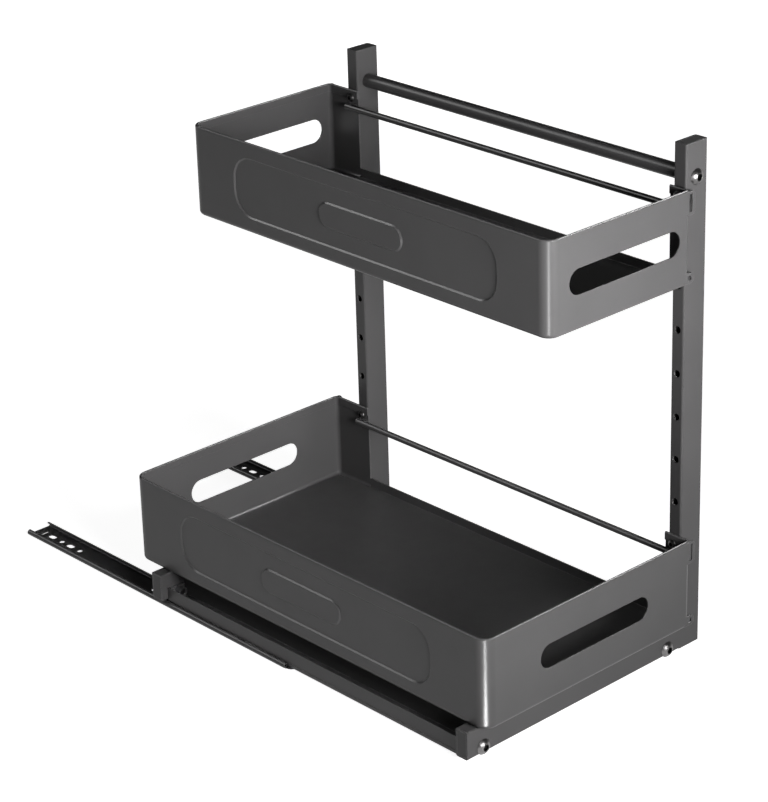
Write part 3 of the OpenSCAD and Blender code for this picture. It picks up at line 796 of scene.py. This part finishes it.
def placed_screws(name, kinds, seed, material):
    """One mesh of screws; kinds is a list of a screw's mesh and the places that take it."""
    joined = bmesh.new()
    for screw, places in kinds:
        pattern = bpy.data.objects.new(screw.name, screw)
        bpy.context.scene.collection.objects.link(pattern)
        copies = run_tree(PLACE_COPIES, name, facing_points(places), copy=pattern,
                          turn_range=SIXTH_TURN, turn_seed=seed, material=material)
        joined.from_mesh(copies.data)
        bpy.data.objects.remove(copies)
        bpy.data.objects.remove(pattern)
    mesh = bpy.data.meshes.new(name)
    joined.to_mesh(mesh)
    joined.free()
    mesh.set_sharp_from_angle(angle=math.radians(SCREW_SHARP_DEGREES))
    mesh.materials.append(material)
    piece = bpy.data.objects.new(name, mesh)
    bpy.context.scene.collection.objects.link(piece)
    print(name, "triangles:", sum(len(face.vertices) - 2 for face in mesh.polygons))
    return piece


def ride_instead(piece, node):
    """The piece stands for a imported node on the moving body."""
    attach(piece, CARRIAGE)
    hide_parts(node)


# %% [markdown]
# Where the screws go
#
# The places are given from the corner of the front frame, in millimetres, because that is how
# they would stand on a drawing. The heads sit on the frames' outer faces, on the baskets'
# returns and on the side rails' floors.

# %% Screws of the frames
frame_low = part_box("front_frame")[0]
CORNER = Vector((frame_low.x, frame_low.y, 0))
FRONT = Vector((0, -1, 0))
REAR = Vector((0, 1, 0))
LEFTWARDS = Vector((-1, 0, 0))
UP = Vector((0, 0, 1))
FRAME_LENGTH = 379
LEG_SCREW_XS = (17, 226.4)
LEG_SCREW_Z = 11.7
ROD_SCREW_X = 252.8
ROD_SCREW_Z = 408
FRAME_SCREW = {"shank": 5.9, "pitch": 1, "head": 13.4, "head_height": 3.9, "socket": 5,
               "socket_depth": 2.4}


def spot(x, y, z):
    """A place in mm from the corner of the front frame."""
    return CORNER + Vector((x, y, z)) * MM


def both_ends(x, z):
    """The same place on the front frame and on the rear one, each facing outwards."""
    return [(spot(x, 0, z), FRONT), (spot(x, FRAME_LENGTH, z), REAR)]


leg_screw = button_screw("leg_screw", length=19.5, **FRAME_SCREW)
rod_screw = button_screw("rod_screw", length=24.4, **FRAME_SCREW)
leg_places = [place for x in LEG_SCREW_XS for place in both_ends(x, LEG_SCREW_Z)]
frame_screws = placed_screws("frame_screws_turned", [
    (leg_screw, leg_places), (rod_screw, both_ends(ROD_SCREW_X, ROD_SCREW_Z))],
    seed=3, material=SCREW_STEEL)
ride_instead(frame_screws, "frame_screws")

# %% [markdown]
# Small screws
#
# The baskets' screws come from inside the returns into the posts' height holes, so their heads
# face the baskets. The runners' screws stand upright in the side rails' floors, and their seat
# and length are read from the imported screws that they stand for.

# %% Screws of the baskets and the runners
BASKET_SCREW_X = 238.1
BASKET_SCREW_YS = (6.2, 372.8)
BASKET_SCREW_ZS = (100.1, 394.9)
RUNNER_SCREW_XS = (15.4, 228.0)
RUNNER_SCREW_YS = (40, 185, 330)
RUNNER_HEAD_HEIGHT = 1.6
runner_low, runner_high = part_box("runner_screws")
runner_seat = runner_high.z / MM - RUNNER_HEAD_HEIGHT
basket_screw = button_screw("basket_screw", shank=5.2, length=9, pitch=0.8, head=8,
                            head_height=2.4, socket=3.2, socket_depth=1.5)
basket_screws = placed_screws("basket_screws_turned", [
    (basket_screw, [(spot(BASKET_SCREW_X, y, z), LEFTWARDS)
                    for y in BASKET_SCREW_YS for z in BASKET_SCREW_ZS])],
    seed=8, material=SCREW_STEEL)
ride_instead(basket_screws, "basket_screws")
runner_screw = pan_screw("runner_screw", shank=4, length=runner_seat - runner_low.z / MM,
                         pitch=0.7, head=7.5, head_height=RUNNER_HEAD_HEIGHT)
runner_screws = placed_screws("runner_screws_turned", [
    (runner_screw, [(spot(x, y, runner_seat), UP)
                    for x in RUNNER_SCREW_XS for y in RUNNER_SCREW_YS])],
    seed=5, material=ZINC_STEEL)
ride_instead(runner_screws, "runner_screws")

# %% [markdown]
# Weld beads
#
# The guard bars are welded to the baskets' returns, and each leg to its post. A weld laid by a
# machine is a row of overlapping ripples along the seam, coated over with everything else. The
# tree takes the seams as loose edges, turns them into a curve, spaces points evenly along it and
# sets a flat drop on each one, a little larger or smaller than the last.

# %% Geometry Nodes: weld beads
DROP_SUBDIVISIONS = 2
SMALLEST_DROP = 0.88
LARGEST_DROP = 1.12
DROP_FLATNESS = 0.62
RIPPLE_PITCH_SHARE = 0.8


def build_weld_tree():
    """Drops along the edges of a mesh, each a little larger or smaller by chance."""
    tree = bpy.data.node_groups.new("weld_bead", "GeometryNodeTree")
    for name, kind in (("Seams", "Geometry"), ("Ripple Pitch", "Float"), ("Bead Radius", "Float"),
                       ("Seed", "Int"), ("Material", "Material")):
        tree_socket(tree, name, kind)
    tree_socket(tree, "Beads", "Geometry", output=True)
    given, out = tree.nodes.new("NodeGroupInput"), tree.nodes.new("NodeGroupOutput")
    curve = tree.nodes.new("GeometryNodeMeshToCurve")
    spaced = add_node(tree, "GeometryNodeCurveToPoints", mode="LENGTH")
    drop = add_node(tree, "GeometryNodeMeshIcoSphere", subdivisions=DROP_SUBDIVISIONS)
    place = tree.nodes.new("GeometryNodeInstanceOnPoints")
    chance = add_node(tree, "FunctionNodeRandomValue", data_type="FLOAT")
    float_socket(chance, "Min").default_value = SMALLEST_DROP
    float_socket(chance, "Max").default_value = LARGEST_DROP
    flat = tree.nodes.new("ShaderNodeCombineXYZ")
    realize = tree.nodes.new("GeometryNodeRealizeInstances")
    smooth = tree.nodes.new("GeometryNodeSetShadeSmooth")
    paint = tree.nodes.new("GeometryNodeSetMaterial")
    size = next(o for o in chance.outputs if o.type == "VALUE")
    flat.inputs["Z"].default_value = DROP_FLATNESS
    for start, end in (
            (given.outputs["Seams"], curve.inputs["Mesh"]),
            (curve.outputs["Curve"], spaced.inputs["Curve"]),
            (given.outputs["Ripple Pitch"], spaced.inputs["Length"]),
            (spaced.outputs["Points"], place.inputs["Points"]),
            (spaced.outputs["Rotation"], place.inputs["Rotation"]),
            (given.outputs["Bead Radius"], drop.inputs["Radius"]),
            (drop.outputs["Mesh"], place.inputs["Instance"]),
            (given.outputs["Seed"], chance.inputs["Seed"]),
            (size, flat.inputs["X"]), (size, flat.inputs["Y"]),
            (flat.outputs["Vector"], place.inputs["Scale"]),
            (place.outputs["Instances"], realize.inputs["Geometry"]),
            (realize.outputs["Geometry"], smooth.inputs["Geometry"]),
            (smooth.outputs["Geometry"], paint.inputs["Geometry"]),
            (given.outputs["Material"], paint.inputs["Material"]),
            (paint.outputs["Geometry"], out.inputs["Beads"])):
        tree.links.new(start, end)
    return tree


WELD_BEAD = build_weld_tree()
print("tree:", WELD_BEAD.name, "nodes:", len(WELD_BEAD.nodes))


def weld_seams(name, seams, radius, seed, finish):
    """Beads along straight seams, each a pair of ends, on the moving body."""
    mesh = bpy.data.meshes.new(name)
    mesh.from_pydata([end for seam in seams for end in seam],
                     [(2 * i, 2 * i + 1) for i in range(len(seams))], [])
    beads = run_tree(WELD_BEAD, name, mesh, ripple_pitch=radius * RIPPLE_PITCH_SHARE,
                     bead_radius=radius, seed=seed, material=SLOT_MATERIALS[finish])
    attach(beads, CARRIAGE)
    print(name, "triangles:", sum(len(face.vertices) - 2 for face in beads.data.polygons))


# %% [markdown]
# Where the welds run
#
# Each end of a guard bar has a short seam above and below it, where the bar lies along its
# basket's return. Each leg has an upright seam on its frame's inner side, at the post.

# %% Weld the bars and the legs
BAR_RADIUS = 2.7
BAR_SEAM_SHARE = 0.75
BAR_SEAM_YS = ((4.5, 12.5), (366.5, 374.5))
BAR_WELD_RADIUS = 1.15 * MM
LEG_LOW = 6.3
LEG_TOP = 30.7
LEG_SEAM_LIFT = 2
LEG_WELD_RADIUS = 1.3 * MM
POST_FACE_X = 240.6
TUBE_DEPTH = 12.4
bar_seams = []
for bar in ("lower_guard_bar", "upper_guard_bar"):
    bar_low, bar_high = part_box(bar)
    bar_z = (bar_low.z + bar_high.z) / 2 / MM
    bar_side = (bar_high.x - CORNER.x) / MM
    for side in (-1, 1):
        for first_y, last_y in BAR_SEAM_YS:
            z = bar_z + side * BAR_RADIUS * BAR_SEAM_SHARE
            bar_seams.append((spot(bar_side, first_y, z), spot(bar_side, last_y, z)))
weld_seams("guard_bar_welds", bar_seams, BAR_WELD_RADIUS, seed=4, finish="basket_coat")
leg_seams = [(spot(POST_FACE_X, inner_y, LEG_LOW + LEG_SEAM_LIFT),
              spot(POST_FACE_X, inner_y, LEG_TOP))
             for inner_y in (TUBE_DEPTH, FRAME_LENGTH - TUBE_DEPTH)]
weld_seams("leg_welds", leg_seams, LEG_WELD_RADIUS, seed=6, finish="frame_coat")

# %% [markdown]
# The floor
#
# The floor is pale. What the camera, a mirror or glass sees of it is lifted towards white by
# the Light Path node, while the light that it throws on the object stays plain. A brighter
# floor would do the same for the camera, but it would also light the object from below.

# %% Floor
WHITE = (1, 1, 1, 1)
FLOOR_HALF = 30.0
FLOOR_COLOUR = (0.8, 0.8, 0.8, 1)
FLOOR_ROUGHNESS = 0.9
CAMERA_LIFT = 0.9


def seen_rays(tree):
    """1 for camera, glossy and transmission rays."""
    path = tree.nodes.new("ShaderNodeLightPath")
    seen = math_node(tree, "MAXIMUM", path.outputs["Is Camera Ray"],
                     path.outputs["Is Glossy Ray"])
    return math_node(tree, "MAXIMUM", seen, path.outputs["Is Transmission Ray"])


def make_floor():
    """A wide plain square at the height of the cabinet's floor."""
    mesh = bpy.data.meshes.new("studio_floor")
    corners = [(x * FLOOR_HALF, y * FLOOR_HALF, 0) for x, y in ((-1, -1), (1, -1), (1, 1), (-1, 1))]
    mesh.from_pydata(corners, [], [(0, 1, 2, 3)])
    floor = bpy.data.objects.new("studio_floor", mesh)
    bpy.context.scene.collection.objects.link(floor)
    material, tree, shader, place = new_material("studio_floor")
    shader.inputs["Base Color"].default_value = FLOOR_COLOUR
    shader.inputs["Roughness"].default_value = FLOOR_ROUGHNESS
    shader.inputs["Specular IOR Level"].default_value = 0
    shader.inputs["Emission Color"].default_value = WHITE
    lift = math_node(tree, "MULTIPLY", seen_rays(tree), CAMERA_LIFT)
    tree.links.new(lift, shader.inputs["Emission Strength"])
    mesh.materials.append(material)


make_floor()
print("floor:", 2 * FLOOR_HALF, "m wide")

# %% [markdown]
# The world
#
# The camera sees a white world. Reflections and glass see it white up to just above the
# horizon, and dim from there to the ceiling: a black finish shows mostly what it reflects, so
# the dim ceiling is what keeps upper faces black. For diffuse light the world is dim all over,
# so the lamps alone shape the object.

# %% World
WORLD_LIGHT = 0.05
CEILING_LIGHT = 0.03
BAND_TOP = (0.02, 0.12)


def make_world():
    """White for the camera, and a bright lower half with a dim ceiling for reflections."""
    world = bpy.data.worlds.new("studio_world")
    bpy.context.scene.world = world
    world.use_nodes = True
    tree = world.node_tree
    background = next(n for n in tree.nodes if n.type == "BACKGROUND")
    background.inputs["Color"].default_value = WHITE
    direction = tree.nodes.new("ShaderNodeTexCoord")
    split = tree.nodes.new("ShaderNodeSeparateXYZ")
    tree.links.new(direction.outputs["Generated"], split.inputs[0])
    horizon = map_range(tree, seen_rays(tree), 0, 1, WORLD_LIGHT, 1)
    reflected = map_range(tree, split.outputs["Z"], *BAND_TOP, horizon, CEILING_LIGHT)
    path = tree.nodes.new("ShaderNodeLightPath")
    strength = math_node(tree, "MAXIMUM", reflected, path.outputs["Is Camera Ray"])
    tree.links.new(strength, background.inputs["Strength"])


make_world()
print("world:", bpy.context.scene.world.name)

# %% [markdown]
# Lamps
#
# A small soft box with a grid stands low and near in front of the upper basket, so that the
# light on the front faces falls off towards the lower right and skims over the baskets' floors,
# which stay dark. One lamp on the left and one behind keep the other sides readable. The one
# behind doesn't show in reflections, because its image would stand out on the tops.

# %% Lamps
WHOLE = Vector((0, -0.05, 0.2))


def add_lamp(name, place, watts, width, height, aim=WHOLE, spread=180, glint=True, light=True,
             only=()):
    """An area lamp; glint and light say if it shows in reflections and in diffuse light."""
    data = bpy.data.lights.new(name, "AREA")
    data.shape = "RECTANGLE"
    data.size = width
    data.size_y = height
    data.energy = watts
    data.spread = math.radians(spread)
    lamp = bpy.data.objects.new(name, data)
    lamp.location = place
    lamp.rotation_euler = (Vector(aim) - Vector(place)).to_track_quat("-Z", "Y").to_euler()
    lamp.visible_glossy = glint
    lamp.visible_diffuse = light
    if only:
        lit = bpy.data.collections.new(name + "_lights")
        for node_name in only:
            lit.objects.link(frame["nodes"][node_name])
        lamp.light_linking.receiver_collection = lit
    bpy.context.scene.collection.objects.link(lamp)
    return lamp


add_lamp("key_lamp", (-0.2, -1.0, 0.43), 4.2, 0.6, 0.35, aim=(-0.14, -0.27, 0.38), spread=74)
add_lamp("left_lamp", (-2.3, 0.3, 0.3), 0.75, 1.2, 0.5)
add_lamp("back_lamp", (1.9, 1.7, 0.35), 22, 1.4, 0.6, glint=False)

# %% [markdown]
# Strips that only glint
#
# Strips draw the bright lines on rims, pressed edges and rounded corners. A strip does this in
# a studio because it is far brighter than its share of the light; here the strips are left out
# of the diffuse light, so that they only glint. Two hang above, for the long and the short
# rims. A rounded upright corner mirrors a camera that looks down on it onto the floor, so the
# corners' strips lie there, one for each basket, and light linking keeps them to it.

# %% Glinting strips
PACKED_NODES = tuple(frame["nodes"])
FLOOR_STRIP_HEIGHT = 0.005
FLOOR_STRIP_LENGTH = 0.44
add_lamp("long_rim_strip", (-1.85, 2.72, 2.62), 120, 2.4, 1.0, light=False, only=PACKED_NODES)
add_lamp("short_rim_strip", (1.7, -0.75, 1.85), 170, 1.6, 0.4, light=False, only=PACKED_NODES)


def add_floor_strip(node_name, distance, watts, width):
    """A strip on the floor, which a basket's rounded front left corner mirrors to the camera."""
    low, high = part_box(node_name)
    outwards = Vector((CAMERA_PLACE.x - low.x, CAMERA_PLACE.y - low.y, 0)).normalized()
    place = Vector((low.x, low.y, FLOOR_STRIP_HEIGHT)) + outwards * distance
    lamp = add_lamp(node_name + "_corner_strip", place, watts, FLOOR_STRIP_LENGTH, width,
                    light=False, only=(node_name,))
    lamp.rotation_euler = (math.pi, 0, math.atan2(outwards.y, outwards.x))
    lamp.visible_camera = False


add_floor_strip("lower_basket", 0.25, 3.2, 0.02)
add_floor_strip("upper_basket", 0.82, 22, 0.04)

# %% [markdown]
# Colours
#
# The Standard view shows colours as the materials give them.

# %% Picture settings
bpy.context.scene.view_settings.view_transform = "Standard"
